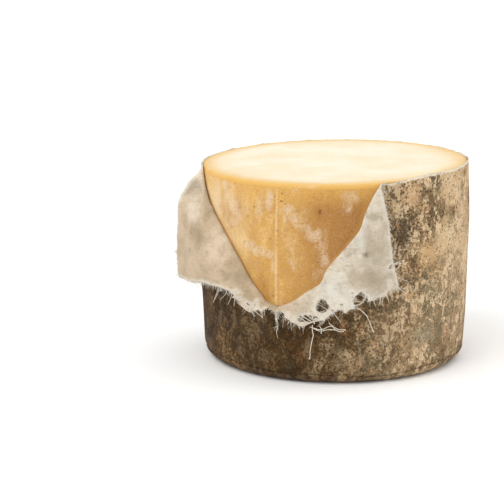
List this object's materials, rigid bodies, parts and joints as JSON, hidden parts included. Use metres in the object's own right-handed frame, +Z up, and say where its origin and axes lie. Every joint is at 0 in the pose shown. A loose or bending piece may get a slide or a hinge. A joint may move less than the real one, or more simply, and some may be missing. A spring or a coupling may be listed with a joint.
{
  "type": "clothbound hard cheese wheel",
  "caption": "Tall drum of hard cheese cut flat across the top, its mould-grown muslin binding slit and folded back from the golden rind.",
  "frame": {"origin": "centre of the flat base, on the surface that the wheel stands on", "axes": "+Z up along the wheel's axis, -Y towards the slit side, +X to the right seen from there"},
  "size_m": [0.3513, 0.3338, 0.241],
  "materials": {
    "cheese": "waxy, softly shining cut face and golden rind",
    "muslin": "mould-grown weave outside, cream linen inside",
    "base_muslin": "grey-brown mould-grown weave"
  },
  "bodies": {
    "root": {"cheese": "cheese", "bandage": "muslin", "base_cloth": "base_muslin"}
  },
  "joints": []
}
